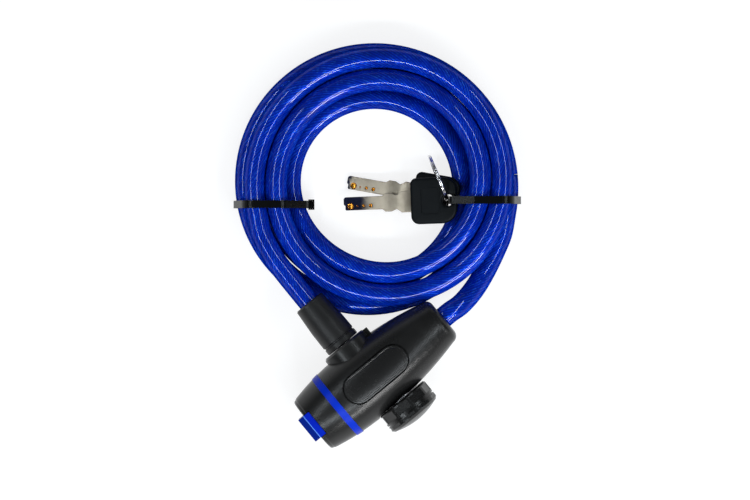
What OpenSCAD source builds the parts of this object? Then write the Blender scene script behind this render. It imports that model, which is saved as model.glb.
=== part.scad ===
// Coiling cable lock: a barrel-shaped lock body, a coiled steel cable that ends in a
// bolt, two cable ties round the coil, and two keys on a split ring.
// The lock body's own frame has X along its axis from the nose, Y toward the bolt.

/* [Lock body] */
// Length from the nose face to the cable end
body_l = 95; // [90:1:105]
// Largest radius, at the belly
body_r = 21; // [20:0.5:23]
// Distance from the nose face to the belly
belly_x = 34; // [28:1:40]
// Radius at the nose face
nose_r = 17; // [16.5:0.5:18.5]
// Radius at the cable end, before its corner is rounded
tail_r = 13; // [12:0.5:14]
// Corner radius at the cable end
tail_round = 4.5; // [2:0.5:5]
// Corner radius at the nose face
nose_round = 1.6; // [0.8:0.2:3]
// Length of the nose cap
cap_l = 16; // [13:1:18]
// Width of the trim ring
trim_w = 4.2; // [3:0.2:5]
// Height by which the trim ring stands proud
trim_proud = 0.3; // [0.1:0.1:0.8]
// Height of the body's axis over the surface that it rests on
axis_z = 21.5; // [21.5:0.1:23]
// Direction of the body's axis in the plan
body_turn = 39.5; // [39:0.5:40]

/* [Panels] */
// Length of the inlay panel and of the rest panel
panel_l = 41; // [36:1:44]
// Width of the panels
panel_w = 16.4; // [14:0.2:18]
// Distance from the nose face to the panels' middle
panel_x = 46; // [44:1:50]
// Width of the groove round the inlay panel
panel_groove = 0.8; // [0.4:0.1:1.2]
// Depth of the panels' seats
panel_deep = 1.6; // [1.2:0.1:2.2]
// Height by which the inlay panel stands proud
panel_proud = 0.3; // [0.1:0.1:0.8]

/* [Lock works] */
// Radius of the metal core
core_r = 13.6; // [13:0.1:14]
// Distance from the nose face to the core's front
core_front = 4; // [3.4:0.2:5]
// Distance from the nose face to the core's back
core_back = 57; // [55:1:60]
// Radius of the cylinder plug
plug_r = 5.9; // [5.6:0.1:6]
// Length of the cylinder plug
plug_l = 27; // [25:1:28]
// Height of the keyway
keyway_h = 8.6; // [8.2:0.2:9]
// Width of the keyway
keyway_w = 2.8; // [2.6:0.1:3.2]
// Distance of the cam's pin from the plug's axis
cam_throw = 3.2; // [2.8:0.1:3.6]
// Radius of the cam's pin
cam_pin_r = 1.3; // [1:0.1:1.5]
// Thickness of the latch
latch_t = 2.5; // [2:0.1:3]

/* [Bolt] */
// Distance from the nose face to the bolt's axis
bolt_x = 42.3; // [41:0.1:44]
// Radius of the bolt
bolt_r = 5; // [4.6:0.1:5.2]
// Depth by which the bolt's tip lies past the body's axis
bolt_tip = 1; // [0.5:0.5:2]
// Distance from the body's axis to the middle of the bolt's groove
groove_y = 4.5; // [4:0.1:5.5]
// Radius left in the bolt's groove
groove_r = 3.2; // [2.8:0.1:3.5]
// Radius of the socket collar
collar_r = 14; // [13:0.5:15]
// Distance from the body's axis to the collar's face
collar_y = 24; // [23:0.5:26]
// Radius of the sleeve at its base
sleeve_r = 10.3; // [9.8:0.1:10.8]
// Radius of the sleeve at its mouth
mouth_r = 8.8; // [8:0.1:9]
// Length of the sleeve
sleeve_l = 30.3; // [28:0.5:32]

/* [Knob] */
// Distance from the nose face to the knob's axis
knob_x = 48.2; // [46:0.2:52]
// Radius of the knob
knob_r = 16; // [14:0.5:17]
// Height of the knob's gripped skirt
skirt_h = 7.5; // [7:0.5:10]
// Height of the knob's outer band
band_h = 4; // [3:0.5:5]
// Height of the domed cap
dome_h = 2.6; // [2:0.2:4]
// Number of grip panels
grips = 9; // [7:1:12]
// Width of the rib between two grip panels
grip_rib = 1.6; // [1.2:0.2:3]
// Depth of the grip panels
grip_deep = 0.9; // [0.4:0.1:1.4]
// Radius of the knob's screw
screw_r = 2.5; // [2:0.1:3]

/* [Keyhole cover] */
// Width of the keyhole cover
cover_w = 15.3; // [14.5:0.1:16]
// Height by which the cover stands in front of the nose
cover_t = 3.7; // [3:0.1:5]
// Distance from the keyhole's middle to the cover's lower end
cover_low = 7.5; // [6.5:0.5:9]
// Length of the cover's lug in the notch
lug_l = 3.7; // [3:0.1:5]
// Thickness of the lug over the notch's floor
lug_t = 4; // [3:0.2:4.4]

/* [Cable] */
// Diameter of the cable
cable_d = 12; // [11.4:0.1:12]
// Radius of the lower layer's outer loop, at its start
loop_r = 77; // [76:0.5:78]
// Step from loop to loop
loop_step = 12.6; // [12.5:0.1:13]
// Height from the lower layer to the upper one
layer_step = 12.7; // [12.5:0.1:13]
// Radius of the upper layer's first loop, at its start
turn_r = 51.7; // [51.5:0.1:52]

/* [Ties] */
// Width of the ties' strap
tie_w = 4.3; // [3.6:0.1:4.6]
// Thickness of the strap
tie_t = 1.2; // [1:0.1:1.4]
// Width of a tie's head across the strap
tie_head_w = 5.8; // [5.4:0.1:7]
// Length of a tie's head along the strap
tie_head_l = 4.8; // [4.6:0.2:6]
// Thickness of a tie's head
tie_head_t = 3.4; // [3.2:0.2:5]

/* [Keys] */
// Length of a key's head
head_l = 26.3; // [24:0.5:28]
// Width of a key's head
head_w = 27; // [25:0.5:28]
// Thickness of a key's head
head_t = 4.5; // [4:0.1:4.6]
// Corner radius of a key's head
head_round = 6; // [4:0.5:8]
// Depth of the head's bevelled edges
head_edge = 1.3; // [0.4:0.1:1.4]
// Distance from a head's hole to its end
hole_end = 5; // [4.8:0.1:5.4]
// Radius of a head's hole
hole_r = 3.3; // [3.2:0.1:3.5]
// Length of a key's blade outside the head
blade_l = 38.6; // [34:0.2:39]
// Width of the blade's shoulder
shoulder_w = 12; // [11:0.5:13]
// Length of the blade's shoulder
shoulder_l = 9; // [7:0.5:11]
// Width of the blade
blade_w = 7.8; // [7:0.2:8]
// Thickness of the blade
blade_t = 2.2; // [1.8:0.1:2.4]
// Slope of the keys, down to the tips
key_slope = 12.5; // [12:0.1:12.8]
// Mean radius of the split ring
ring_r = 13.4; // [12.8:0.1:13.8]
// Radius of the split ring's wire
wire_r = 0.5; // [0.4:0.05:0.5]

/* [Hidden] */

$fn = 96;
black = "#1c1d1f";
soft_black = "#26272a";
blue = "#1650c4";
cable_blue = "#1c49d8";
steel = "#b9bcc0";
zinc = "#8f949a";
brass = "#c49a52";

fit = 0.05;
run = 0.1;
seam = 0.3;
cut = 1;
eps = 0.01;

mid_x = 47;
shell_x = cap_l + trim_w;
belly_steps = 14;
// Middle of the stacked keys' holes
key_at = [40.2, 96.4, 16.9];

// Places a child that is drawn in the lock body's frame
module in_lock() {
    translate([0, 0, axis_z]) rotate([0, 0, body_turn]) translate([-mid_x, 0, 0]) children();
}

function lock_point(x, y) = [
    (x - mid_x) * cos(body_turn) - y * sin(body_turn),
    (x - mid_x) * sin(body_turn) + y * cos(body_turn),
    axis_z,
];

// A cylinder along the body's axis
module along_x(x0, x1, r) {
    translate([x0, 0, 0]) rotate([0, 90, 0]) cylinder(h = x1 - x0, r = r);
}

// A cylinder across the body at x, from y0 to y1
module along_y(x, y0, y1, r, r2 = undef) {
    translate([x, y0, 0]) rotate([-90, 0, 0])
        cylinder(h = y1 - y0, r1 = r, r2 = is_undef(r2) ? r : r2);
}

// A box given by two corners
module box(low, high) {
    translate(low) cube(high - low);
}

function arc_radius(span, drop) = (span * span + drop * drop) / (2 * drop);

nose_arc = arc_radius(belly_x, body_r - nose_r);
tail_arc = arc_radius(body_l - belly_x, body_r - tail_r);

function barrel_r(x) = let (
    arc = x < belly_x ? nose_arc : tail_arc,
    away = x - belly_x
) body_r - arc + sqrt(arc * arc - away * away);

// Outline points of the barrel from x0 to x1, off the surface by the given height
function barrel_line(x0, x1, off = 0) = [
    for (i = [0 : belly_steps])
        let (x = x0 + (x1 - x0) * i / belly_steps) [barrel_r(x) + off, x]
];

// A quarter round of radius r about a centre, from angle a0 to a1
function corner(centre, r, a0, a1) = [
    for (i = [0 : 5]) let (a = a0 + (a1 - a0) * i / 5) centre + r * [cos(a), sin(a)]
];

// Turns an outline of [radius, x] points round the body's axis
module turned(points) {
    rotate([0, 90, 0]) rotate_extrude() polygon(points);
}

module barrel(x0, x1, off = 0) {
    turned(concat([[0, x0]], barrel_line(x0, x1, off), [[0, x1]]));
}

// A stadium column along Z at the panels' place
module panel_column(grow, z0, z1) {
    translate([panel_x, 0, z0]) linear_extrude(z1 - z0) {
        translate([-(panel_l - panel_w) / 2, -panel_w / 2 - grow])
            square([panel_l - panel_w, panel_w + 2 * grow]);
        for (side = [-1, 1])
            translate([side * (panel_l - panel_w) / 2, 0]) circle(d = panel_w + 2 * grow);
    }
}

// ---- Lock body ----

tail_mid = body_l - tail_round;
washer_r = 7;
washer_t = 1;
seat_y = body_r - 1.3;
neck_y = seat_y - 0.7;
ferrule_x = 64;
ferrule_l = 16;
ferrule_r = 8;
cable_r = cable_d / 2;

module body_shell() {
    color(black) in_lock() difference() {
        turned(concat(
            [[0, shell_x]],
            barrel_line(shell_x, tail_mid),
            corner([barrel_r(tail_mid) - tail_round, tail_mid], tail_round, 0, 90),
            [[0, body_l]]
        ));
        along_x(shell_x - cut, core_back + fit, core_r + fit);
        along_x(ferrule_x - fit, ferrule_x + ferrule_l + fit, ferrule_r + fit);
        along_x(ferrule_x, body_l + cut, cable_r + fit);
        along_y(bolt_x, 0, body_r + cut, collar_r + fit);
        difference() {
            panel_column(panel_groove, 0, body_r + cut);
            barrel(panel_x - panel_l, panel_x + panel_l, -panel_deep);
        }
        panel_column(fit, -body_r - cut, rest_top);
        along_y(knob_x, -body_r - cut, -seat_y, knob_r + 2 * seam);
        along_y(knob_x, -body_r, -neck_y, washer_r + fit);
        along_y(knob_x, -body_r, 0, screw_r + fit);
    }
}

module nose_cap() {
    color(black) in_lock() difference() {
        turned(concat(
            [[0, 0]],
            corner([nose_r - nose_round, nose_round], nose_round, -90, 0),
            barrel_line(nose_round + 0.8, cap_l),
            [[0, cap_l]]
        ));
        along_x(core_front - fit, cap_l + cut, core_r + fit);
        along_x(-cut, core_front, plug_r + 2 * run);
        box([-cut, -notch_w / 2, notch_z], [lug_l + seam, notch_w / 2, body_r]);
        for (side = [-1, 1])
            translate([0, side * tongue_y, 0])
                box([-cut, -tongue_w / 2 - run, -cover_low - seam],
                    [tongue_t + seam, tongue_w / 2 + run, notch_z + eps]);
    }
}

module trim_ring() {
    color(blue) in_lock() turned(concat(
        [[core_r + fit, cap_l + fit]],
        barrel_line(cap_l + fit, shell_x - fit, trim_proud),
        [[core_r + fit, shell_x - fit]]
    ));
}

module inlay_panel() {
    color(soft_black) in_lock() difference() {
        intersection() {
            panel_column(0, 0, body_r + 2 * cut);
            barrel(panel_x - panel_l / 2 - cut, panel_x + panel_l / 2 + cut, panel_proud);
        }
        barrel(panel_x - panel_l, panel_x + panel_l, fit - panel_deep);
    }
}

rest_top = -axis_z + 5;

module rest_panel() {
    color(soft_black) in_lock() panel_column(0, -axis_z, rest_top - fit);
}

collar_l = 11;
collar_edge = 1.2;
tab_w = 6.4;
tab_l = 5;

module socket_collar() {
    color(soft_black) in_lock() difference() {
        union() {
            along_y(bolt_x, collar_y - collar_l, collar_y - collar_edge, collar_r);
            along_y(bolt_x, collar_y - collar_edge, collar_y, collar_r, collar_r - collar_edge);
            difference() {
                box([bolt_x + collar_r - 2, collar_y - tab_l, -tab_w / 2],
                    [bolt_x + collar_r + 2, collar_y - 0.6, tab_w / 2]);
                barrel(bolt_x, bolt_x + 2 * collar_r, fit);
            }
        }
        along_x(bolt_x - body_r, bolt_x + body_r, core_r + fit);
        along_y(bolt_x, 0, collar_y + cut, bolt_r + run);
    }
}

// ---- Lock works ----

plug_x = 0.8;
cam_x = plug_x + plug_l;
cam_t = 2.2;
cam_pin_l = 3.2;
foot_t = 2.6;
foot_x = cam_x + cam_t + 0.4;
latch_travel = 2 * cam_throw * sin(45);
latch_gap = 0.35;
eye_r = bolt_r + 0.4;
neck_r = groove_r + seam;
latch_l = bolt_x + eye_r + 1.8 - foot_x;
latch_low = -latch_travel - neck_r - 2.4;
latch_high = eye_r + 1.9;
pin_z = -cam_throw * sin(45);
foot_half = cam_pin_r + 1.9;

module lock_core() {
    color(zinc) in_lock() difference() {
        along_x(core_front, core_back, core_r);
        along_x(core_front - cut, foot_x + eps, plug_r + fit);
        along_y(bolt_x, -bolt_tip - seam, core_r + cut, bolt_r + run);
        box([foot_x, groove_y - latch_t / 2 - latch_gap, latch_low - latch_gap],
            [foot_x + latch_l + latch_gap, groove_y + latch_t / 2 + latch_gap,
                latch_high + latch_travel + latch_gap]);
        box([foot_x, 0, pin_z - foot_half - latch_gap],
            [foot_x + foot_t + latch_gap, groove_y + latch_t / 2 + latch_gap,
                latch_travel + pin_z + foot_half + latch_gap]);
        along_y(knob_x, -body_r, -screw_tip + fit, screw_r + fit);
    }
}

module cylinder_plug() {
    color(brass) in_lock() difference() {
        along_x(plug_x, cam_x, plug_r);
        box([plug_x - cut, -keyway_w / 2, -keyway_h / 2], [plug_x + plug_l - 4, keyway_w / 2, keyway_h / 2]);
        translate([plug_x, 0, 0]) rotate([0, 90, 0]) cylinder(h = 2, r = keyway_w / 2 + 0.6, center = true);
    }
}

module plug_cam() {
    color(steel) in_lock() {
        along_x(cam_x, cam_x + cam_t, plug_r - run);
        rotate([-45, 0, 0]) translate([0, cam_throw, 0])
            along_x(cam_x + cam_t - eps, cam_x + cam_t + cam_pin_l, cam_pin_r);
    }
}

module latch() {
    color(steel) in_lock() difference() {
        union() {
            box([foot_x + eps, groove_y - latch_t / 2, latch_low],
                [foot_x + latch_l, groove_y + latch_t / 2, latch_high]);
            box([foot_x + eps, 0.4, pin_z - foot_half],
                [foot_x + foot_t, groove_y + latch_t / 2, pin_z + foot_half]);
        }
        along_y(bolt_x, 0, 2 * groove_y, eye_r);
        translate([0, 0, -latch_travel]) along_y(bolt_x, 0, 2 * groove_y, neck_r);
        box([bolt_x - neck_r, 0, -latch_travel], [bolt_x + neck_r, 2 * groove_y, 0]);
        box([foot_x - cut, cam_throw * cos(45) - cam_pin_r - run, pin_z - cam_pin_r - 0.2],
            [foot_x + foot_t + cam_pin_l, cam_throw + cam_pin_r + run, pin_z + cam_pin_r + 0.2]);
    }
}

// ---- Keyhole cover ----

notch_z = nose_r - lug_t - 0.4;
notch_w = cover_w + 2 * seam;
tongue_w = 1;
tongue_t = 0.9;
tongue_y = cover_w / 2 - tongue_w / 2 - 0.2;

module keyhole_cover() {
    color(blue) in_lock() {
        difference() {
            box([-cover_t, -cover_w / 2, -cover_low], [-seam, cover_w / 2, notch_z + lug_t]);
            for (side = [-1, 1])
                translate([0, side * cover_w / 2, -cover_low]) rotate([45, 0, 0])
                    cube([2 * cover_t + cut, 3, 3], center = true);
            for (z = [2 : 2 : 8])
                box([-cover_t - cut, -cover_w / 3, z - 0.4], [-cover_t + 0.4, cover_w / 3, z + 0.4]);
        }
        box([-seam - eps, -cover_w / 2, notch_z + seam], [lug_l, cover_w / 2, notch_z + lug_t]);
        for (side = [-1, 1])
            translate([0, side * tongue_y, 0])
                box([-seam - eps, -tongue_w / 2, -cover_low + 1.5],
                    [tongue_t, tongue_w / 2, notch_z + seam + eps]);
    }
}

// ---- Knob ----

knob_y = seat_y + seam;
line_w = 0.8;
knob_edge = 1.4;
knob_top = knob_y + skirt_h + line_w + band_h;
head_seat_y = knob_y + 5;
screw_head_r = 5.6;
screw_head_h = 3;
screw_tip = 8;
pocket_r = screw_head_r + seam;

module knob_grip() {
    color(soft_black) in_lock() difference() {
        translate([knob_x, 0, 0]) rotate([90, 0, 0]) rotate_extrude() polygon([
            [screw_r + run, knob_y],
            [knob_r - 0.8, knob_y],
            [knob_r, knob_y + 0.8],
            [knob_r, knob_y + skirt_h],
            [knob_r - 0.7, knob_y + skirt_h],
            [knob_r - 0.7, knob_y + skirt_h + line_w],
            [knob_r, knob_y + skirt_h + line_w],
            [knob_r, knob_top - knob_edge],
            [knob_r - knob_edge, knob_top],
            [pocket_r + 2, knob_top],
            [pocket_r + 2, knob_top - 1],
            [pocket_r, knob_top - 1],
            [pocket_r, head_seat_y],
            [screw_r + run, head_seat_y],
        ]);
        for (i = [0 : grips - 1])
            translate([knob_x, 0, 0]) rotate([0, (i + 0.5) * 360 / grips, 0]) {
                box([knob_r - grip_deep, -knob_y - skirt_h + 1.2, -grip_half],
                    [knob_r + cut, -knob_y - 1.4, grip_half]);
                box([knob_r - grip_deep / 2, -knob_top + knob_edge + 0.4, -grip_half],
                    [knob_r + cut, -knob_top + band_h - 0.6, grip_half]);
            }
    }
}

grip_half = knob_r * sin(180 / grips) - grip_rib / 2;
dome_r = knob_r - knob_edge - 0.4;
dome_ball = arc_radius(dome_r, dome_h);

module knob_cap() {
    color(black) in_lock() translate([knob_x, 0, 0]) rotate([90, 0, 0]) rotate_extrude() polygon(concat(
        [
            [0, knob_top - 1],
            [pocket_r + 2 - fit, knob_top - 1],
            [pocket_r + 2 - fit, knob_top + eps],
            [dome_r, knob_top + eps],
        ],
        [for (i = [1 : 8]) let (r = dome_r * (1 - i / 8))
            [r, knob_top + dome_h - dome_ball + sqrt(dome_ball * dome_ball - r * r)]]
    ));
}

module knob_screw() {
    color(steel) in_lock() difference() {
        union() {
            along_y(knob_x, -head_seat_y - seam, -screw_tip, screw_r);
            along_y(knob_x, -head_seat_y - seam - screw_head_h, -head_seat_y - seam + eps, screw_head_r);
        }
        translate([knob_x, -head_seat_y - screw_head_h - seam, 0]) rotate([90, 0, 0])
            cylinder(h = 3, r = 2.3, $fn = 6, center = true);
    }
}

module knob_washer() {
    color(steel) in_lock() difference() {
        along_y(knob_x, -knob_y + fit, -knob_y + fit + washer_t - 2 * fit, washer_r);
        along_y(knob_x, -knob_y - cut, 0, screw_r + fit);
    }
}

// ---- Bolt ----

groove_w = latch_t + 2 * latch_gap;
bolt_ferrule_r = 7.6;
bolt_ferrule_l = 13;
sleeve_y = collar_y + seam;
mouth_y = sleeve_y + sleeve_l;

module bolt_pin() {
    color(steel) in_lock() difference() {
        union() {
            along_y(bolt_x, -bolt_tip, -bolt_tip + 1.2, bolt_r - 1.2, bolt_r);
            along_y(bolt_x, -bolt_tip + 1.2 - eps, sleeve_y + fit, bolt_r);
        }
        difference() {
            along_y(bolt_x, groove_y - groove_w / 2, groove_y + groove_w / 2, bolt_r + cut);
            along_y(bolt_x, 0, 2 * groove_y, groove_r);
        }
    }
}

module bolt_sleeve() {
    color(black) in_lock() difference() {
        translate([bolt_x, 0, 0]) rotate([-90, 0, 0]) rotate_extrude() polygon([
            [0, sleeve_y],
            [sleeve_r - 0.5, sleeve_y],
            [sleeve_r, sleeve_y + 0.5],
            [sleeve_r - 0.05, sleeve_y + 3.2],
            [sleeve_r - 0.6, sleeve_y + 3.5],
            [sleeve_r - 0.6, sleeve_y + 4.1],
            [sleeve_r, sleeve_y + 4.5],
            [sleeve_r - 0.2, sleeve_y + sleeve_l / 2],
            [mouth_r + 0.2, mouth_y - 1.4],
            [mouth_r + 0.2, mouth_y - 0.8],
            [mouth_r - 0.6, mouth_y],
            [0, mouth_y],
        ]);
        along_y(bolt_x, sleeve_y - cut, sleeve_y + bolt_ferrule_l + fit, bolt_ferrule_r + fit);
        along_y(bolt_x, sleeve_y, mouth_y + cut, cable_r + fit);
    }
}

module bolt_ferrule() {
    color(zinc) in_lock() difference() {
        along_y(bolt_x, sleeve_y + fit, sleeve_y + bolt_ferrule_l, bolt_ferrule_r);
        for (y = [3.5, 7, 10.5])
            difference() {
                along_y(bolt_x, sleeve_y + y - 0.5, sleeve_y + y + 0.5, bolt_ferrule_r + cut);
                along_y(bolt_x, sleeve_y, sleeve_y + bolt_ferrule_l, bolt_ferrule_r - 0.6);
            }
    }
}

// ---- Cable ----

coil_low = [-3.5, 105.2];
coil_shift = [7.2, 1.4];
coil_start = -12;
climb_start = 892;
climb_end = 1012;
shift_start = 896;
shift_end = 1068;
coil_end = 1634;
coil_rings = 24;
coil_sides = 6;
lead_sides = 10;
tie_gap = 0.4;
lift = tie_t + tie_gap + fit;

function unit(v) = v / norm(v);
function ease(t) = let (u = min(1, max(0, t))) u * u * (3 - 2 * u);

// The cable's middle line at an angle counted along the loops: it spirals in on the lower
// layer, climbs where the spiral turns round, and spirals out on the upper layer
function coil_point(a) = let (
    up = ease((a - climb_start) / (climb_end - climb_start)),
    over = ease((a - shift_start) / (shift_end - shift_start)),
    r_in = loop_r - loop_step * a / 360,
    r_out = turn_r + loop_step * (a - climb_end) / 360,
    r = r_in + (r_out - r_in) * up,
    centre = coil_low + coil_shift * over
) [
    centre.x + r * cos(a),
    centre.y + r * sin(a),
    cable_r + lift * cos(a) * cos(a) + layer_step * up,
];

function coil_heading(a) = unit(coil_point(a + 1) - coil_point(a - 1));

coil_count = ceil((coil_end - coil_start) / 360 * coil_rings);
coil_turns = [for (i = [0 : coil_count]) coil_point(coil_start + (coil_end - coil_start) * i / coil_count)];
coil_first = coil_turns[0] - cable_d * coil_heading(coil_start);
coil_last = coil_turns[coil_count] + cable_d * coil_heading(coil_end);
coil_path = concat([coil_first], coil_turns, [coil_last]);
first_heading = unit(coil_turns[0] - coil_first);
last_heading = unit(coil_last - coil_turns[coil_count]);
join_l = 3;

// Route from the lock's cable end to the coil
lead_lock_route = concat(
    [lock_point(body_l + fit, 0), lock_point(body_l + 5, 0)],
    [
        [46, 37.2, 19.8],
        [51, 42.2, 16.6],
        [55.5, 48, 12.8],
        [59.5, 54.5, 9.4],
        [63.2, 61.5, 7.4],
        [66.6, 68.8, 7],
    ],
    [coil_first - join_l * first_heading, coil_first - fit * first_heading]
);

// Route from the coil to the bolt's ferrule
lead_bolt_route = concat(
    [coil_last + fit * last_heading, coil_last + join_l * last_heading],
    [
        [-61.5, 70, 20.4],
        [-57.8, 63.6, 20.9],
        [-53, 57.2, 21.3],
    ],
    [
        lock_point(bolt_x, mouth_y + 8),
        lock_point(bolt_x, mouth_y),
        lock_point(bolt_x, sleeve_y + bolt_ferrule_l + fit),
    ]
);

function heading(path, i) = unit(path[min(i + 1, len(path) - 1)] - path[max(i - 1, 0)]);

// One ring of the tube: points round the path's i-th point, square to the path
function ring_points(path, i, r, sides) = let (
    ahead = heading(path, i),
    side = unit(cross([0, 0, 1], ahead)),
    up = cross(ahead, side)
) [for (k = [0 : sides - 1]) let (a = 90 + 360 * k / sides) path[i] + r * (cos(a) * side + sin(a) * up)];

module tube(path, r, sides) {
    last = len(path) - 1;
    points = [for (i = [0 : last]) each ring_points(path, i, r, sides)];
    walls = [
        for (i = [0 : last - 1], k = [0 : sides - 1])
            let (a = i * sides + k, b = i * sides + (k + 1) % sides)
                each [[a, a + sides, b + sides], [a, b + sides, b]]
    ];
    first_cap = [for (k = [1 : sides - 2]) [0, k, k + 1]];
    last_cap = [for (k = [1 : sides - 2]) [last * sides, last * sides + k + 1, last * sides + k]];
    polyhedron(points = points, faces = concat(first_cap, walls, last_cap), convexity = 12);
}

module cable_coil() {
    color(cable_blue) tube(coil_path, cable_r, coil_sides);
}

module cable_lead_lock() {
    color(cable_blue) tube(lead_lock_route, cable_r, lead_sides);
}

module cable_lead_bolt() {
    color(cable_blue) tube(lead_bolt_route, cable_r, lead_sides);
}

module cable_stub() {
    color(cable_blue) in_lock() along_x(ferrule_x + ferrule_l + fit, body_l, cable_r);
}

module cable_ferrule() {
    color(zinc) in_lock() difference() {
        along_x(ferrule_x, ferrule_x + ferrule_l, ferrule_r);
        for (x = [4, 8, 12])
            difference() {
                along_x(ferrule_x + x - 0.5, ferrule_x + x + 0.5, ferrule_r + cut);
                along_x(ferrule_x, ferrule_x + ferrule_l, ferrule_r - 0.6);
            }
    }
}

// Least gap between the coil's own passes, on the middle line's points
own_gap = min([
    for (i = [0 : coil_count], j = [i + coil_rings / 2 : coil_count])
        norm(coil_turns[i] - coil_turns[j]) - cable_d
]);
echo(str("least gap of the coil to itself: ", own_gap, " mm"));

// ---- Cable ties ----

tie_left_y = 94;
tie_right_y = key_at.y;
passes = [0, 1, 2, 3, 4];

// The angle at which the pass numbered k crosses the line at y, on the left or the right
function cross_angle(k, y, left) = let (
    a0 = 360 * k + (left ? 180 : 0),
    p = coil_point(a0),
    r = abs(p.x - coil_low.x - (k > 2 ? coil_shift.x : 0)),
    dip = asin((coil_low.y + (k > 2 ? coil_shift.y : 0) - y) / r),
    near = left ? a0 + dip : a0 - dip,
    low = coil_point(near).y,
    high = coil_point(near + 1).y
) near + (y - low) / (high - low);

// Strap outline round the passes in the XZ plane, grown by the given height
module strap_outline(places, grow) {
    hull() for (p = places) translate([p.x, p.z]) circle(r = p[3] + grow, $fn = 32);
}

module strap(places, y) {
    translate([0, y, 0]) rotate([90, 0, 0]) linear_extrude(tie_w, center = true) difference() {
        strap_outline(places, tie_gap + tie_t);
        strap_outline(places, tie_gap);
    }
}

// The tie's head, on the inner side of the bundle
module tie_head(x, y, z) {
    translate([x, y, z]) difference() {
        cube([tie_head_t, tie_head_w, tie_head_l], center = true);
        cube([1.4, tie_w + 0.2, tie_head_l + cut], center = true);
    }
}

// The passes' places at both edges of a strap round the line at y, spread by their slant
function strap_places(y, left) = [
    for (edge = [-1, 1], side = [-1, 1], k = passes)
        let (
            a = cross_angle(k, y + edge * tie_w / 2, left),
            p = coil_point(a),
            spread = side * cable_r * (1 / abs(coil_heading(a).y) - 1)
        )
            if (a > coil_start && a < coil_end) [p.x + spread, p.y, max(p.z, cable_r + lift), cable_r]
];

left_places = strap_places(tie_left_y, true);
right_places = strap_places(tie_right_y, false);
left_inner = max([for (p = left_places) p.z < layer_step ? p.x : -loop_r]) + cable_r + tie_gap;
right_inner = min([for (p = right_places) p.z < layer_step ? p.x : loop_r]) - cable_r - tie_gap;

module cable_tie_left() {
    color(black) {
        strap(left_places, tie_left_y);
        tie_head(left_inner + tie_t + tie_head_t / 2 - 0.4, tie_left_y, tie_head_l / 2 + 2.6);
    }
}

module cable_tie_right() {
    color(black) {
        strap(concat(right_places, [[strap_bend.x, 0, strap_bend.y, 0.5]]), tie_right_y);
        tie_head(right_inner - tie_t - tie_head_t / 2 + 0.3, tie_right_y, tie_head_l / 2 + 0.2);
    }
}

// ---- Keys ----

key_1_turn = 2;
key_2_turn = -10;
stack_gap = 0.3;
hole_top = key_at.z + (head_t + stack_gap / 2) * cos(key_slope);
strap_bend = [key_at.x - (head_t + 1) * sin(key_slope) + hole_r + 0.2, hole_top + 0.8];
head_mid = hole_end - head_l / 2;
head_back = hole_end - head_l;
tang_l = 9;

module in_keys(turn) {
    translate(key_at) rotate([0, -key_slope, 0]) rotate([0, 0, turn]) children();
}

module head_outline() {
    hull() {
        for (x = [hole_end - head_round, head_back + head_round + 3], side = [-1, 1])
            translate([x, side * (head_w / 2 - head_round)]) circle(r = head_round, $fn = 40);
        translate([head_back + 0.5, 0]) square([1, shoulder_w + 3], center = true);
    }
}

module key_head(z) {
    difference() {
        hull()
            for (inset = [0, head_edge])
                translate([0, 0, z - head_t / 2 + head_edge - inset])
                    linear_extrude(head_t - 2 * (head_edge - inset)) offset(delta = -inset) head_outline();
        translate([0, 0, z - head_t]) cylinder(h = 2 * head_t, r = hole_r);
        for (side = [-1, 1])
            translate([0, 0, z + side * head_t / 2])
                box([head_mid - 7, -7.5, -0.35], [head_mid + 3.5, 7.5, 0.35]);
        tang_space(z, fit);
    }
}

module tang_space(z, grow) {
    box([head_back - cut, -shoulder_w / 2 + 1 - grow, z - blade_t / 2 - grow],
        [head_back + tang_l + grow, shoulder_w / 2 - 1 + grow, z + blade_t / 2 + grow]);
}

tip_x = head_back - blade_l;
shoulder_x = head_back - shoulder_l;
notch_l = 3;

module blade_outline() {
    polygon([
        [head_back - fit, shoulder_w / 2],
        [shoulder_x + notch_l, shoulder_w / 2],
        [shoulder_x + notch_l, shoulder_w / 2 - 1.6],
        [shoulder_x, blade_w / 2 + 0.4],
        [shoulder_x - 2, blade_w / 2],
        [tip_x + 3, blade_w / 2],
        [tip_x + 0.8, blade_w / 2 - 2.2],
        [tip_x, 1],
        [tip_x, -1],
        [tip_x + 0.8, -blade_w / 2 + 2.2],
        [tip_x + 3, -blade_w / 2],
        [shoulder_x - 2, -blade_w / 2],
        [shoulder_x, -blade_w / 2 - 0.4],
        [shoulder_x + notch_l, -shoulder_w / 2 + 1.6],
        [shoulder_x + notch_l, -shoulder_w / 2],
        [head_back - fit, -shoulder_w / 2],
    ]);
}

// The dimples' places on the blade: distance from the tip, place across, radius
dimples = [
    [5, 0, 1.6],
    [11.4, 1.5, 1],
    [15.2, -1.5, 1],
    [19, 1.3, 1],
];

module key_blade(z) {
    difference() {
        union() {
            translate([0, 0, z - blade_t / 2]) linear_extrude(blade_t) blade_outline();
            box([head_back - 2 * fit, -shoulder_w / 2 + 1, z - blade_t / 2],
                [head_back + tang_l, shoulder_w / 2 - 1, z + blade_t / 2]);
        }
        for (side = [-1, 1])
            translate([0, 0, z + side * blade_t / 2]) {
                box([tip_x + 22, -0.6, -0.4], [head_back - 1.5, 0.6, 0.4]);
                for (d = dimples)
                    translate([tip_x + d[0], side * d[1], 0]) sphere(r = d[2] * 0.9, $fn = 24);
            }
    }
}

level_1 = (head_t + stack_gap) / 2;
level_2 = -level_1;

module key_1_blade() {
    color(steel) in_keys(key_1_turn) key_blade(level_1);
}

module key_1_head() {
    color(black) in_keys(key_1_turn) key_head(level_1);
}

module key_2_blade() {
    color(steel) in_keys(key_2_turn) key_blade(level_2);
}

module key_2_head() {
    color(black) in_keys(key_2_turn) key_head(level_2);
}

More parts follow.
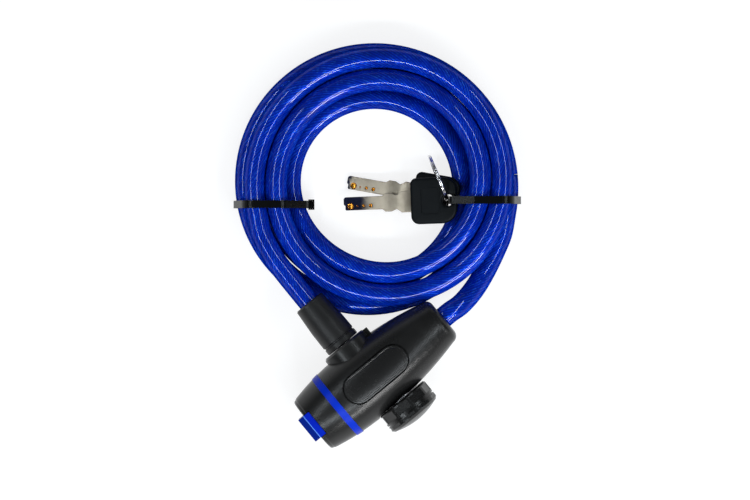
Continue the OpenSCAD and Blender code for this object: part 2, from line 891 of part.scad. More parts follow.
ring_turn = 112;
ring_near = [-1.1, 0.15];
ring_z = ring_r + 2 * wire_r + 0.1;

module split_ring() {
    color(steel)
        translate([
            key_at.x + ring_near.x + ring_r * cos(ring_turn),
            key_at.y + ring_near.y + ring_r * sin(ring_turn),
            ring_z,
        ]) rotate([90, 0, ring_turn]) rotate_extrude() translate([ring_r, 0]) {
            for (side = [-1, 1]) translate([0, side * (wire_r - 0.08)]) circle(r = wire_r, $fn = 24);
            square([0.5, wire_r], center = true);
        }
}

body_shell();
nose_cap();
trim_ring();
inlay_panel();
rest_panel();
socket_collar();
lock_core();
cylinder_plug();
plug_cam();
latch();
keyhole_cover();
knob_grip();
knob_cap();
knob_screw();
knob_washer();
bolt_pin();
bolt_sleeve();
bolt_ferrule();
cable_ferrule();
cable_stub();
cable_lead_lock();
cable_coil();
cable_lead_bolt();
cable_tie_left();
cable_tie_right();
key_1_blade();
key_1_head();
key_2_blade();
key_2_head();
split_ring();
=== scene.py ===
"""Dresses the coiling cable lock: cable, lock body, knob, bolt, ties and keys.

Every piece is in metres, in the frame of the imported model. The cable is swept along the
route of its solids, the carried-over parts get their finishes, and the parts that need
softer edges are modelled again in the place of their plain solids.
"""

from __future__ import annotations

import logging
import math
from dataclasses import dataclass
from enum import Enum
from typing import Iterable, Mapping, Sequence, Union

import bmesh
import bpy
from mathutils import Matrix, Vector

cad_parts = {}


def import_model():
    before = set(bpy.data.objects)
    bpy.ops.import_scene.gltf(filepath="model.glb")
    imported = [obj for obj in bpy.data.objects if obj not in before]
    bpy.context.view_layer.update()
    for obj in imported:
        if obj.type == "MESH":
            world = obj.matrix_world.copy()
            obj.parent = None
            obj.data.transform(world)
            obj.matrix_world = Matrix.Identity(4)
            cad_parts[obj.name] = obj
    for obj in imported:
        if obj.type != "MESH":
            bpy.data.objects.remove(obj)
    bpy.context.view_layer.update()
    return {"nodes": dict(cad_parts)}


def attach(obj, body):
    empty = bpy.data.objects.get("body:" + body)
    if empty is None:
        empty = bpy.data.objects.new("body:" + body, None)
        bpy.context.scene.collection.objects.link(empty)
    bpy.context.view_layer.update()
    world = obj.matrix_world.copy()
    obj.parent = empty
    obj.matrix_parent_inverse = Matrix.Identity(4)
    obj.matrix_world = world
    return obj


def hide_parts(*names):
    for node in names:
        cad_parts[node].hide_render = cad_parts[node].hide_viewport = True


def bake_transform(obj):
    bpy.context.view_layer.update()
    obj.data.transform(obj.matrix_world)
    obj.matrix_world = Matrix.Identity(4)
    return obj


LOG = logging.getLogger("cable_lock")
MM = 0.001
ROUTE_MAP = "route"

Colour = tuple[float, float, float, float]
Place = tuple[float, float, float]
Pairs = tuple[tuple[float, float], ...]
Value = Union["Signal", float, Sequence[float]]


def srgb(red: int, green: int, blue: int) -> Colour:
    """Turn an 8-bit display colour into the linear colour that shaders take.

    Args:
        red: Red, from 0 to 255.
        green: Green, from 0 to 255.
        blue: Blue, from 0 to 255.

    Returns:
        The linear colour, opaque.
    """

    def linear(channel: int) -> float:
        share = channel / 255
        return share / 12.92 if share <= 0.04045 else ((share + 0.055) / 1.055) ** 2.4

    return (linear(red), linear(green), linear(blue), 1.0)


def grey(level: int) -> Colour:
    """Turn an 8-bit display grey into the linear colour that shaders take."""
    return srgb(level, level, level)


BLACK = grey(0)
WHITE = grey(255)


class Slot(Enum):
    """Names of the record's finishes."""

    JACKET = "cable_jacket"
    KEY = "key_nickel"
    KEY_PLASTIC = "key_plastic"
    NYLON = "tie_nylon"


class Rounding(Enum):
    """What a rounding works on."""

    EDGES = "EDGES"
    CORNERS = "VERTICES"


# ---- Shader maths ----


class Signal:
    """One shader value that takes part in Python arithmetic."""

    def __init__(self, tree: ShaderTree, socket: bpy.types.NodeSocket) -> None:
        """Wrap an output socket of a node in the tree."""
        self.tree = tree
        self.socket = socket

    def math(self, operation: str, *terms: Value) -> Signal:
        """Add a Math node that works on this value and the terms.

        Args:
            operation: Name of the Math node's operation.
            terms: The operation's further operands, in order.

        Returns:
            The node's result.
        """
        sockets = dict(enumerate((self, *terms)))
        return self.tree.node("ShaderNodeMath", {"operation": operation}, sockets)

    def __add__(self, other: Value) -> Signal:
        """Add a value or a number."""
        return self.math("ADD", other)

    __radd__ = __add__

    def __sub__(self, other: Value) -> Signal:
        """Subtract a value or a number."""
        return self.math("SUBTRACT", other)

    def __rsub__(self, other: float) -> Signal:
        """Subtract this value from a number."""
        return (self * -1.0) + other

    def __mul__(self, other: Value) -> Signal:
        """Multiply by a value or a number."""
        return self.math("MULTIPLY", other)

    __rmul__ = __mul__

    def __truediv__(self, other: Value) -> Signal:
        """Divide by a value or a number."""
        return self.math("DIVIDE", other)

    def __pow__(self, power: float) -> Signal:
        """Raise to a power."""
        return self.math("POWER", power)

    def __abs__(self) -> Signal:
        """Drop the sign."""
        return self.math("ABSOLUTE")

    def arch(self) -> Signal:
        """Rise from 0 to 1 and fall back to 0 over each whole number."""
        share = self.math("FRACT")
        return share * (1.0 - share) * 4.0

    def step(self, low: float, high: float) -> Signal:
        """Climb smoothly from 0 at low to 1 at high.

        Args:
            low: Value at which the result is still 0.
            high: Value at which the result has reached 1.

        Returns:
            The smooth step, held between 0 and 1.
        """
        settings = {"interpolation_type": "SMOOTHSTEP"}
        return self.tree.node("ShaderNodeMapRange", settings, {0: self, 1: low, 2: high})


class ShaderTree:
    """Builds the nodes of one material or world round its shader."""

    def __init__(
        self, owner: Union[bpy.types.Material, bpy.types.World], shader: str = "Principled BSDF"
    ) -> None:
        """Start with the shader and the output that a new owner has.

        Args:
            owner: The new material or world.
            shader: Name of its shader node.
        """
        owner.use_nodes = True
        self.links = owner.node_tree.links
        self.nodes = owner.node_tree.nodes
        self.shader = self.nodes[shader]

    def node(
        self,
        kind: str,
        settings: Mapping[str, object] | None = None,
        sockets: Mapping[Union[int, str], Value] | None = None,
        output: Union[int, str] = 0,
    ) -> Signal:
        """Add one node, set it up and feed it.

        Args:
            kind: The node's type.
            settings: Its properties, set before its sockets.
            sockets: Numbers, colours or signals for its inputs, by index or name.
            output: The output that is returned.

        Returns:
            The chosen output.
        """
        made = self.nodes.new(kind)
        for key, value in (settings or {}).items():
            setattr(made, key, value)
        for key, value in (sockets or {}).items():
            self.feed(made.inputs[key], value)
        return Signal(self, made.outputs[output])

    def outputs(self, made: Signal, *names: Union[int, str]) -> tuple[Signal, ...]:
        """Return several outputs of the node that a signal comes from."""
        return tuple(Signal(self, made.socket.node.outputs[name]) for name in names)

    def feed(self, socket: bpy.types.NodeSocket, value: Value) -> None:
        """Link a signal to an input, or set the input to a constant.

        Args:
            socket: The input.
            value: The signal, number or colour.
        """
        if isinstance(value, Signal):
            self.links.new(value.socket, socket)
        else:
            socket.default_value = value

    def surface(self, **inputs: Value) -> None:
        """Feed inputs of the shader, named in lower case with underscores."""
        for key, value in inputs.items():
            title = key.replace("_", " ").title().replace("Ior", "IOR")
            self.feed(self.shader.inputs[title], value)

    def fed(self, name: str) -> Signal:
        """Return the signal that already feeds an input of the shader."""
        return Signal(self, self.shader.inputs[name].links[0].from_socket)

    def place(
        self, origin: Sequence[float] = (0, 0, 0), turn: Sequence[float] = (0, 0, 0)
    ) -> Signal:
        """Return the object coordinates, seen from an origin and turned.

        Args:
            origin: The point that becomes zero, in metres.
            turn: Euler angles by which the axes are turned, in radians.

        Returns:
            The coordinates as a vector.
        """
        return self.moved(self.node("ShaderNodeTexCoord", output="Object"), origin, turn)

    def moved(
        self, vector: Signal, origin: Sequence[float] = (0, 0, 0), turn: Sequence[float] = (0, 0, 0)
    ) -> Signal:
        """Return a vector as it is seen from an origin, along turned axes."""
        sockets = {0: vector, 1: origin, 2: turn}
        return self.node("ShaderNodeMapping", {"vector_type": "TEXTURE"}, sockets)

    def stretched(self, vector: Signal, factors: Sequence[float]) -> Signal:
        """Multiply each of a vector's numbers by its own factor."""
        return self.node("ShaderNodeVectorMath", {"operation": "MULTIPLY"}, {0: vector, 1: factors})

    def split(self, vector: Signal) -> tuple[Signal, ...]:
        """Take a vector apart into its three numbers."""
        return self.outputs(self.node("ShaderNodeSeparateXYZ", None, {0: vector}), 0, 1, 2)

    def noise(
        self, vector: Signal, scale: float, detail: float = 2.0, roughness: float = 0.5
    ) -> Signal:
        """Return soft random variation about one half.

        Args:
            vector: Where the noise is read.
            scale: Number of features in a metre.
            detail: Number of finer layers.
            roughness: Weight of the finer layers.

        Returns:
            The noise value.
        """
        sockets = {"Vector": vector, "Scale": scale, "Detail": detail, "Roughness": roughness}
        return self.node("ShaderNodeTexNoise", None, sockets)

    def mix(self, share: Value, first: Value, second: Value) -> Signal:
        """Mix two colours.

        Args:
            share: 0 gives the first colour and 1 the second.
            first: The first colour.
            second: The second colour.

        Returns:
            The mixed colour.
        """
        settings = {"data_type": "RGBA"}
        return self.node("ShaderNodeMix", settings, {0: share, 6: first, 7: second}, output=2)

    def bump(self, height: Signal, distance: float, strength: float = 1.0) -> Signal:
        """Turn a height into a normal.

        Args:
            height: The height, from 0 to 1.
            distance: What a height of 1 stands for, in metres.
            strength: Weight of the bump.

        Returns:
            The bent normal.
        """
        sockets = {"Strength": strength, "Distance": distance, "Height": height}
        return self.node("ShaderNodeBump", None, sockets)


# ---- Frames of the lock body and the keys ----


class LockFrame:
    """The lock body's frame: X along its axis from the nose, Y toward the bolt."""

    AXIS_HEIGHT = 21.5 * MM
    TURN = math.radians(39.5)
    MIDDLE = 47 * MM

    @classmethod
    def matrix(cls) -> Matrix:
        """Return the transform from the lock body's frame to the model's frame."""
        lift = Matrix.Translation((0, 0, cls.AXIS_HEIGHT))
        return lift @ Matrix.Rotation(cls.TURN, 4, "Z") @ Matrix.Translation((-cls.MIDDLE, 0, 0))

    @classmethod
    def point(cls, along: float, across: float) -> Vector:
        """Return a point on the lock body's middle plane, in the model's frame."""
        return cls.matrix() @ Vector((along, across, 0))


class KeyRing:
    """Places of the two keys on their ring, with X from a blade's tip toward the hole."""

    HOLES = Vector((40.2, 96.4, 16.9)) * MM
    SLOPE = math.radians(12.5)
    BLADE_HALF = 1.1 * MM
    HEAD_END = 5 * MM
    HEAD_BACK = HEAD_END - 26.3 * MM
    TIP = HEAD_BACK - 38.6 * MM
    ROW = 1.5 * MM

    @classmethod
    def matrix(cls, turn: float, level: float) -> Matrix:
        """Return the transform from a key's own frame to the model's frame."""
        tilt = Matrix.Rotation(-cls.SLOPE, 4, "Y") @ Matrix.Rotation(turn, 4, "Z")
        return Matrix.Translation(cls.HOLES) @ tilt @ Matrix.Translation((0, 0, level))


# ---- Finishes ----


@dataclass(frozen=True)
class Finish:
    """A named surface finish that can make its own material."""

    name: str

    def paint(self, tree: ShaderTree) -> None:
        """Set the material up. Each kind of finish does this in its own way.

        Args:
            tree: The nodes of the finish's material.
        """
        raise NotImplementedError

    def material(self) -> bpy.types.Material:
        """Return the finish's material, made on first use."""
        found = bpy.data.materials.get(self.name)
        if found:
            return found
        made = bpy.data.materials.new(self.name)
        self.paint(ShaderTree(made))
        return made


@dataclass(frozen=True)
class ClearJacket(Finish):
    """Clear coloured plastic over a laid steel rope, with its pattern along the route."""

    # Darkest blue: random darker tone and painted shade in the valleys between strands and wires.
    deep_tone_and_valley_shade: Colour = srgb(0, 0, 50)
    # Bright blue: random lighter tone and painted light on the crowns of strands and wires.
    bright: Colour = srgb(0, 48, 196)
    # Pale blue of the painted highlights on the wires.
    painted_glint_colour: Colour = srgb(58, 138, 255)
    strands: int = 7
    wires: int = 24
    lay: float = 66 * MM
    patch_scale: float = 60.0
    waver_scale: float = 260.0
    highlight_fleck_scale: float = 620.0
    waver: float = 0.35
    relief: float = 0.3 * MM
    glossy_until: float = 0.16
    matt_from: float = 0.5

    def paint(self, tree: ShaderTree) -> None:
        """Lay the strands and their wires round the cable under a smooth clear coat, with painted
        light on their crowns, painted shade in the valleys and painted glints on the wires.
        """
        route = tree.node("ShaderNodeUVMap", {"uv_map": ROUTE_MAP})
        around, along, _ = tree.split(route)
        helix = around - along / self.lay
        here = tree.place()
        patch = tree.noise(here, self.patch_scale, 3.0).step(0.3, 0.7)
        waver = tree.noise(here, self.waver_scale)
        crown = (helix * self.strands).arch()
        wire = (helix * self.wires + waver * self.waver).arch()
        highlight_flecks = tree.noise(here, self.highlight_fleck_scale).step(0.44, 0.64)
        # Painted light and shade: the crowns of strands and wires are painted lighter and the
        # valleys between them darker; the patches are random tone.
        depth = crown ** 0.35 * 0.34 + patch * 0.26 + wire * 0.4
        colour = tree.mix(depth, self.deep_tone_and_valley_shade, self.bright)
        gloss = self._facing_gloss(tree)
        # Painted highlight: sparse glints on the wire crowns, broken up by noise and mixed into the
        # base colour.
        painted_wire_highlight = (wire ** 4.0) * highlight_flecks * crown * (patch * 0.6 + 0.4)
        tree.surface(
            base_color=tree.mix(painted_wire_highlight * 0.5, colour, self.painted_glint_colour),
            metallic=crown * gloss * 0.6,
            roughness=0.42 - wire * 0.1,
            specular_ior_level=0.0,
            normal=tree.bump(crown * 0.5 + wire * 0.5, self.relief, 0.7),
            coat_weight=gloss,
            coat_roughness=0.05,
            coat_ior=1.45,
        )

    def _facing_gloss(self, tree: ShaderTree) -> Signal:
        """Return the clear coat's gloss, which fades where it is seen edge-on."""
        edge = tree.node("ShaderNodeLayerWeight", None, {"Blend": 0.5}, output="Facing")
        return 1.0 - edge.step(self.glossy_until, self.matt_from)


@dataclass(frozen=True)
class Moulded(Finish):
    """Moulded plastic with a fine spark-eroded grain and lightly rubbed high spots."""

    colour: Colour
    rubbed: Colour
    roughness: float
    grain: float = 0.04 * MM
    grain_scale: float = 2600.0
    cloud_scale: float = 45.0
    scuff_scale: float = 420.0
    gloss: float = 0.18
    coat: float = 0.0

    def paint(self, tree: ShaderTree) -> None:
        """Mix the base colour with rubbed patches and give the surface its grain."""
        here = tree.place()
        cloud = tree.noise(here, self.cloud_scale, 4.0, 0.6)
        rub = cloud.step(0.48, 0.78)
        fine = tree.noise(here, self.grain_scale, 2.0, 0.6)
        scuffs = tree.noise(here, self.scuff_scale, 3.0, 0.7).step(0.55, 0.8)
        colour = tree.mix(rub * 0.5 + fine * 0.15, self.colour, self.rubbed)
        tree.surface(
            base_color=colour,
            roughness=cloud * 0.1 + scuffs * 0.06 + (self.roughness - 0.07),
            specular_ior_level=self.gloss,
            normal=tree.bump(fine * 0.7 + scuffs * 0.3, self.grain, 0.6),
            coat_weight=self.coat,
            coat_roughness=0.15,
            coat_ior=1.4,
        )


@dataclass(frozen=True)
class GroovedPanel(Moulded):
    """Moulded plastic with a fine groove that follows the panel's round-ended outline."""

    half_length: float = 20.5 * MM
    half_width: float = 8.2 * MM
    centre: float = 46 * MM
    inset: float = 1.3 * MM
    groove: float = 0.3 * MM

    def paint(self, tree: ShaderTree) -> None:
        """Press the groove into the moulded surface."""
        super().paint(tree)
        here = tree.place(LockFrame.point(self.centre, 0), (0, 0, LockFrame.TURN))
        along, across, _ = tree.split(here)
        past = (abs(along) - (self.half_length - self.half_width)).math("MAXIMUM", 0.0)
        radius = (past * past + across * across) ** 0.5
        line = abs(radius - (self.half_width - self.inset)).step(self.groove, 2 * self.groove)
        pressed = {
            "Strength": 0.9,
            "Distance": self.groove,
            "Height": line,
            "Normal": tree.fed("Normal"),
        }
        tree.surface(normal=tree.node("ShaderNodeBump", None, pressed))


@dataclass(frozen=True)
class RidgedBlue(Moulded):
    """Blue plastic whose sloping front part, past a ridge, is painted darker as shade, with a pale
    highlight painted along the ridge.
    """

    ridge: float = -0.1 * MM
    width: float = 0.22 * MM
    # Painted shade on the sloping front part.
    front: Colour = srgb(0, 30, 128)
    # Painted highlight along the ridge.
    pale: Colour = srgb(96, 150, 244)

    def paint(self, tree: ShaderTree) -> None:
        """Part the two blues along the ridge, painting shade on the front part and a pale highlight
        along the ridge.
        """
        super().paint(tree)
        plain = tree.fed("Base Color")
        here = tree.place(LockFrame.point(self.ridge, 0), (0, 0, LockFrame.TURN))
        along, _, _ = tree.split(here)
        # Painted shade in front of the ridge and a painted highlight along it.
        behind = along.step(-self.width, self.width)
        ridge = 1.0 - abs(along).step(self.width * 0.6, self.width * 1.4)
        tree.surface(base_color=tree.mix(ridge, tree.mix(behind, self.front, plain), self.pale))


@dataclass(frozen=True)
class Metal(Finish):
    """Bare or plated metal with fine scratches."""

    colour: Colour = srgb(205, 205, 208)
    shade: Colour = srgb(150, 150, 156)
    roughness: float = 0.25
    scratch: float = 0.02 * MM
    streak_scale: float = 320.0
    cloud_scale: float = 110.0
    stretch: Place = (1.0, 12.0, 1.0)

    def paint(self, tree: ShaderTree) -> None:
        """Vary colour and gloss in stretched streaks, as brushing leaves them."""
        here = tree.place()
        streaks = tree.noise(tree.stretched(here, self.stretch), self.streak_scale, 4.0, 0.65)
        cloud = tree.noise(here, self.cloud_scale, 3.0)
        tree.surface(
            base_color=tree.mix(cloud.step(0.35, 0.75), self.colour, self.shade),
            metallic=1.0,
            roughness=streaks * 0.2 + (self.roughness - 0.1),
            normal=tree.bump(streaks, self.scratch, 0.5),
        )


@dataclass(frozen=True)
class KeyMetal(Finish):
    """Nickel plate on a brass key, with a painted dark reflection at its tip, drilled to the brass
    in its dimples.
    """

    turn: float
    level: float
    dark_tip_reach: float
    nickel: Colour = srgb(170, 160, 144)
    tarnish: Colour = srgb(136, 128, 114)
    # Painted dark reflection at the blade's tip.
    blue: Colour = srgb(22, 24, 40)
    brass: Colour = srgb(196, 132, 48)
    scratch: float = 0.008 * MM
    streak_scale: float = 400.0
    cloud_scale: float = 130.0
    stretch: Place = (1, 9, 1)
    plate_depth: float = 0.06 * MM
    row_start: tuple[float, float] = (1.4 * MM, 1.7 * MM)
    row_end: tuple[float, float] = (18 * MM, 19 * MM)
    row_side: tuple[float, float] = (1.9 * MM, 2.1 * MM)
    dark_tip_waver: float = 3 * MM

    def paint(self, tree: ShaderTree) -> None:
        """Paint a dark reflection on the plate toward the tip and show brass where the dimples are
        drilled.
        """
        tip, surface = KeyRing.TIP, KeyRing.BLADE_HALF
        flat = tree.moved(tree.place(KeyRing.HOLES, (0, -KeyRing.SLOPE, 0)), turn=(0, 0, self.turn))
        along, across, height = tree.split(flat)
        below = 1.0 - abs(height - self.level).step(surface - self.plate_depth, surface)
        row = along.step(tip + self.row_start[0], tip + self.row_start[1])
        row = row * (1.0 - along.step(tip + self.row_end[0], tip + self.row_end[1]))
        drilled = below * row * (1.0 - abs(across + KeyRing.ROW).step(*self.row_side))
        streaks = tree.noise(tree.stretched(flat, self.stretch), self.streak_scale, 4.0, 0.65)
        cloud = tree.noise(flat, self.cloud_scale, 3.0).step(0.4, 0.75)
        plate = tree.mix(cloud * 0.6 + streaks * 0.3, self.nickel, self.tarnish)
        # Painted reflection: the plate darkens toward the tip, over a ragged edge.
        ragged = along + cloud * self.dark_tip_waver
        dark = 1.0 - ragged.step(tip + self.dark_tip_reach * 0.5, tip + self.dark_tip_reach)
        tree.surface(
            base_color=tree.mix(drilled, tree.mix(dark, plate, self.blue), self.brass),
            metallic=1.0,
            roughness=streaks * 0.1 + 0.3 - drilled * 0.1,
            normal=tree.bump(streaks, self.scratch, 0.3),
        )


@dataclass(frozen=True)
class PaleFloor(Finish):
    """Pale floor that glows white to the camera and to mirrors, under the lock's shadow."""

    colour: Colour = grey(140)
    mottle: Colour = grey(143)
    mottle_scale: float = 4.0
    glow: float = 0.8

    def paint(self, tree: ShaderTree) -> None:
        """Let the floor glow for the rays that show it and for no others."""
        share = tree.noise(tree.place(), self.mottle_scale)
        tree.surface(base_color=tree.mix(share, self.colour, self.mottle))
        tree.surface(roughness=0.9, emission_strength=self.glow)
        rays = "Is Camera Ray", "Is Glossy Ray", "Is Transmission Ray"
        seen, mirrored, through = tree.outputs(tree.node("ShaderNodeLightPath"), *rays)
        shown = seen.math("MAXIMUM", mirrored.math("MAXIMUM", through))
        tree.surface(emission_color=tree.mix(shown, BLACK, WHITE))


JACKET = ClearJacket("blue_jacket_over_rope")
SHELL = Moulded("satin_black_shell", grey(26), grey(38), 0.3, gloss=0.3)
PANEL = Moulded("smooth_black_panel", grey(24), grey(36), 0.32, gloss=0.3)
INLAY = GroovedPanel("grooved_black_panel", grey(26), grey(40), 0.28, gloss=0.35)
KNOB_BLACK = Moulded("knob_black", grey(12), grey(30), 0.3, gloss=0.45)
SLEEVE_BLACK = Moulded("sleeve_black", srgb(12, 12, 13), grey(24), 0.46, gloss=0.4)
KEY_BLACK = Moulded("key_head_black", srgb(8, 12, 15), srgb(18, 22, 25), 0.5, gloss=0.12)
BLUE_PLASTIC = Moulded("bright_blue_plastic", srgb(0, 44, 190), srgb(0, 62, 212), 0.36, gloss=0.1)
COVER_BLUE = RidgedBlue("ridged_blue_plastic", srgb(0, 30, 178), srgb(0, 50, 200), 0.36, gloss=0.1)
STUB_BLUE = Moulded("cable_end_blue", srgb(0, 26, 140), srgb(0, 40, 176), 0.3, coat=0.4)
NYLON = Moulded("glossy_black_nylon", srgb(6, 7, 7), srgb(14, 15, 15), 0.28, gloss=0.2)
STEEL = Metal("bright_steel")
ZINC = Metal("cast_zinc", srgb(150, 152, 156), srgb(118, 120, 124), 0.45)
BRASS = Metal("plug_brass", srgb(208, 168, 92), srgb(170, 130, 62), 0.3)
RING_METAL = Metal("ring_nickel", srgb(214, 214, 218), srgb(120, 120, 124), 0.18)
FLOOR = PaleFloor("pale_floor")


# ---- Making and placing pieces ----


def ride_along(
    piece: bpy.types.Object, body: Union[str, None], finish: Finish
) -> None:
    """Give a new piece its finish and let it move with a body.

    Args:
        piece: The new object, with its place in its mesh.
        body: Name of the body that carries it, or None where it joins two bodies.
        finish: Its surface finish.
    """
    piece.data.materials.append(finish.material())
    if body:
        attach(piece, body)


def make_piece(
    name: str, shape: bmesh.types.BMesh, smooth: bool = True, crease: float = math.pi
) -> bpy.types.Object:
    """Turn a bmesh into an object of the scene.

    Args:
        name: The piece's name.
        shape: Its shape, which is freed.
        smooth: Whether its faces are shaded smooth.
        crease: Angle between faces from which an edge stays sharp, in radians.

    Returns:
        The new object.
    """
    mesh = bpy.data.meshes.new(name)
    shape.to_mesh(mesh)
    shape.free()
    if smooth:
        mesh.shade_smooth()
    else:
        mesh.shade_flat()
    if smooth and crease < math.pi:
        mesh.set_sharp_from_angle(angle=crease)
    piece = bpy.data.objects.new(name, mesh)
    bpy.context.scene.collection.objects.link(piece)
    return piece


def round_off(
    shape: bmesh.types.BMesh,
    what: Rounding,
    items: Sequence[Union[bmesh.types.BMVert, bmesh.types.BMEdge]],
    size: float,
    segments: int,
) -> None:
    """Round corners or edges of a shape.

    Args:
        shape: The shape.
        what: Whether corners or edges are rounded.
        items: The corners or the edges.
        size: Distance over which they are rounded.
        segments: Number of faces across the rounding.
    """
    bmesh.ops.bevel(
        shape,
        geom=items,
        offset=size,
        segments=segments,
        profile=0.5,
        affect=what.value,
        material=-1,
    )


def dress(nodes: Mapping[str, bpy.types.Object], finish: Finish, *names: str) -> None:
    """Give carried-over parts a finish.

    Args:
        nodes: The frame's parts by name.
        finish: The finish.
        names: The parts that get it.
    """
    for name in names:
        mesh = nodes[name].data
        mesh.materials.clear()
        mesh.materials.append(finish.material())
        LOG.info("%s: %s", name, finish.name)


# ---- Cable ----


def ease(share: float) -> float:
    """Return the smooth step of a share, held between 0 and 1."""
    held = min(1.0, max(0.0, share))
    return held * held * (3 - 2 * held)


@dataclass
class Coil:
    """The coiled part of the cable's middle line, worked out by angle.

    Its angles are in degrees and count on from loop to loop: the lower layer's loops narrow,
    then the cable climbs, drifts to the upper layer's centre and widens again.
    """

    low_centre: Vector = Vector((-3.5, 105.2)) * MM
    shift: Vector = Vector((7.2, 1.4)) * MM
    first_radius: float = 77 * MM
    turn_radius: float = 51.7 * MM
    loop_step: float = 12.6 * MM
    layer_step: float = 12.7 * MM
    rest_height: float = 6 * MM
    tie_lift: float = 1.65 * MM
    start: float = -12
    end: float = 1634
    climb: tuple[float, float] = (892, 1012)
    drift: tuple[float, float] = (896, 1068)

    def point(self, angle: float) -> Vector:
        """Return one point of the middle line.

        Args:
            angle: Its angle.

        Returns:
            The point, in the model's frame.
        """
        up = ease((angle - self.climb[0]) / (self.climb[1] - self.climb[0]))
        over = ease((angle - self.drift[0]) / (self.drift[1] - self.drift[0]))
        inward = self.first_radius - self.loop_step * angle / 360
        outward = self.turn_radius + self.loop_step * (angle - self.climb[1]) / 360
        radius = inward + (outward - inward) * up
        centre = self.low_centre + self.shift * over
        across, ahead = math.cos(math.radians(angle)), math.sin(math.radians(angle))
        height = self.rest_height + self.tie_lift * across * across + self.layer_step * up
        return Vector((centre.x + radius * across, centre.y + radius * ahead, height))

    def run_out(self, angle: float, distance: float) -> Vector:
        """Return the point a distance straight ahead of the middle line's point at an angle."""
        heading = self.point(angle + 1) - self.point(angle - 1)
        return self.point(angle) + heading.normalized() * distance

    def points(self, first: float, last: float, per_loop: int) -> list[Vector]:
        """Return evenly turned points of the middle line.

        Args:
            first: Angle of the first point.
            last: Angle of the last point.
            per_loop: Number of points to a loop.

        Returns:
            The points, in order.
        """
        count = math.ceil((last - first) / 360 * per_loop)
        return [self.point(first + (last - first) * i / count) for i in range(count + 1)]


def smooth_route(points: Sequence[Vector], spacing: float) -> list[Vector]:
    """Run a smooth curve through given points.

    Args:
        points: The route's points.
        spacing: Distance between the curve's points, in metres.

    Returns:
        Points along a centripetal curve through all of them.
    """
    shortest = 1e-9
    before = points[0] * 2 - points[1]
    after = points[-1] * 2 - points[-2]
    padded = [before, *points, after]
    curve = [points[0].copy()]
    for a, b, c, d in zip(padded, padded[1:], padded[2:], padded[3:]):
        knots = [0.0]
        for near, far in ((a, b), (b, c), (c, d)):
            knots.append(knots[-1] + max((far - near).length, shortest) ** 0.5)
        steps = max(1, round((c - b).length / spacing))
        for i in range(1, steps + 1):
            at = knots[1] + (knots[2] - knots[1]) * i / steps
            curve.append(_between((a, b, c, d), knots, at))
    return curve


MIXING_SPANS = (((0, 1), (1, 2), (2, 3)), ((0, 2), (1, 3)), ((1, 2),))


def _between(points: Sequence[Vector], knots: Sequence[float], at: float) -> Vector:
    """Return one point of a centripetal curve, by repeated mixing of its four points.

    Args:
        points: The four points about the stretch.
        knots: Their places along the curve.
        at: The wanted place, between the second knot and the third.

    Returns:
        The point at that place.
    """
    level = list(points)
    for spans in MIXING_SPANS:
        level = [
            near.lerp(far, (at - knots[low]) / (knots[high] - knots[low]))
            for near, far, (low, high) in zip(level, level[1:], spans)
        ]
    return level[0]


class Tube:
    """A round tube swept along a path, mapped round it and along it."""

    def __init__(self, path: Sequence[Vector], radius: float, sides: int, start: float) -> None:
        """Sweep the tube.

        Args:
            path: Points of its middle line.
            radius: Its radius.
            sides: Number of sides.
            start: Distance along the cable at the path's first point, for its map.
        """
        self.path = list(path)
        self.shape = bmesh.new()
        self._around = self.shape.verts.layers.float.new("around")
        self._along = self.shape.verts.layers.float.new("along")
        self._sweep(radius, sides, start)
        self._map()

    def _station(self, index: int) -> Matrix:
        """Work out how the tube's ring stands at a point of the path.

        Args:
            index: The point's number.

        Returns:
            The transform to that point, with Z ahead and Y up.
        """
        last = len(self.path) - 1
        ahead = (self.path[min(index + 1, last)] - self.path[max(index - 1, 0)]).normalized()
        side = Vector((0, 0, 1)).cross(ahead).normalized()
        turn = Matrix((side, ahead.cross(side), ahead)).transposed().to_4x4()
        return Matrix.Translation(self.path[index]) @ turn

    def _sweep(self, radius: float, sides: int, start: float) -> None:
        """Extrude a ring from station to station and close both ends.

        Args:
            radius: The tube's radius.
            sides: Number of sides.
            start: Distance along the cable at the first station.
        """
        here = self._station(0)
        made = bmesh.ops.create_circle(self.shape, segments=sides, radius=radius, cap_ends=True)
        ring = made["verts"]
        for vertex in ring:
            vertex[self._around] = math.atan2(vertex.co.y, vertex.co.x) / math.tau % 1.0
            vertex[self._along] = start
        bmesh.ops.transform(self.shape, matrix=here, verts=ring)
        edges = list({edge for vertex in ring for edge in vertex.link_edges})
        travelled = start
        for index in range(1, len(self.path)):
            step = self._station(index)
            travelled += (self.path[index] - self.path[index - 1]).length
            grown = bmesh.ops.extrude_edge_only(self.shape, edges=edges)["geom"]
            ring = [item for item in grown if isinstance(item, bmesh.types.BMVert)]
            edges = [item for item in grown if isinstance(item, bmesh.types.BMEdge)]
            bmesh.ops.transform(self.shape, matrix=step @ here.inverted(), verts=ring)
            for vertex in ring:
                vertex[self._along] = travelled
            here = step
        bmesh.ops.contextual_create(self.shape, geom=edges)
        bmesh.ops.recalc_face_normals(self.shape, faces=self.shape.faces)

    def _map(self) -> None:
        """Give each face its place round the tube and along the cable, in metres."""
        route = self.shape.loops.layers.uv.new(ROUTE_MAP)
        for face in self.shape.faces:
            turns = [loop.vert[self._around] for loop in face.loops]
            crosses = max(turns) - min(turns) > 0.5
            for loop, turn in zip(face.loops, turns):
                wrapped = turn + 1.0 if crosses and turn < 0.5 else turn
                loop[route].uv = (wrapped, loop.vert[self._along])


